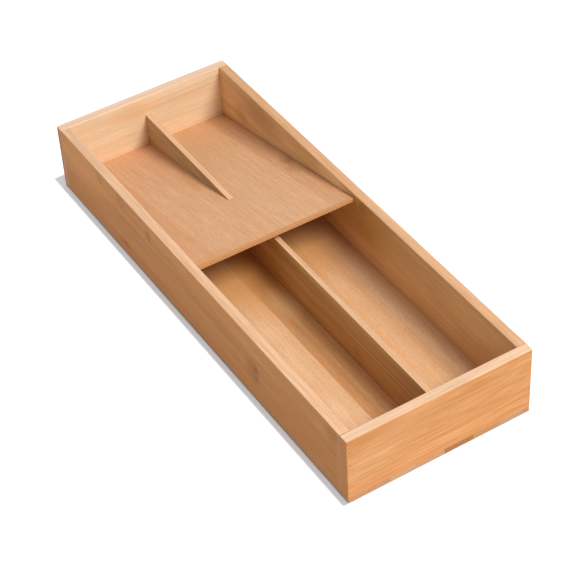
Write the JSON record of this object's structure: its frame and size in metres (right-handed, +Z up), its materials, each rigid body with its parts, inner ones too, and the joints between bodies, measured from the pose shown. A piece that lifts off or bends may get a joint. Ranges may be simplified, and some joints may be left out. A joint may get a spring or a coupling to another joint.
{
  "type": "cutlery tray",
  "caption": "Narrow two-tier bamboo cutlery tray: open lower compartments run under a sloping upper shelf, each tier split by a thin divider.",
  "frame": {"origin": "middle of the underside", "axes": "+Y along the tray from the open front half to the shelf at the back, +X to the right across it, +Z up"},
  "size_m": [0.146, 0.396, 0.057],
  "materials": {
    "frame_bamboo": "satin lacquer",
    "panel_bamboo": "satin lacquer",
    "shelf_bamboo": "satin lacquer",
    "divider_bamboo": "satin lacquer",
    "pin_steel": "plain"
  },
  "bodies": {
    "root": {"front_board": "frame_bamboo", "back_board": "frame_bamboo", "left_side_board": "frame_bamboo", "right_side_board": "frame_bamboo", "base_panel": "panel_bamboo", "upper_shelf": "shelf_bamboo", "upper_divider": "shelf_bamboo", "lower_divider": "divider_bamboo", "frame_pins": "pin_steel", "panel_pins": "pin_steel"}
  },
  "joints": []
}
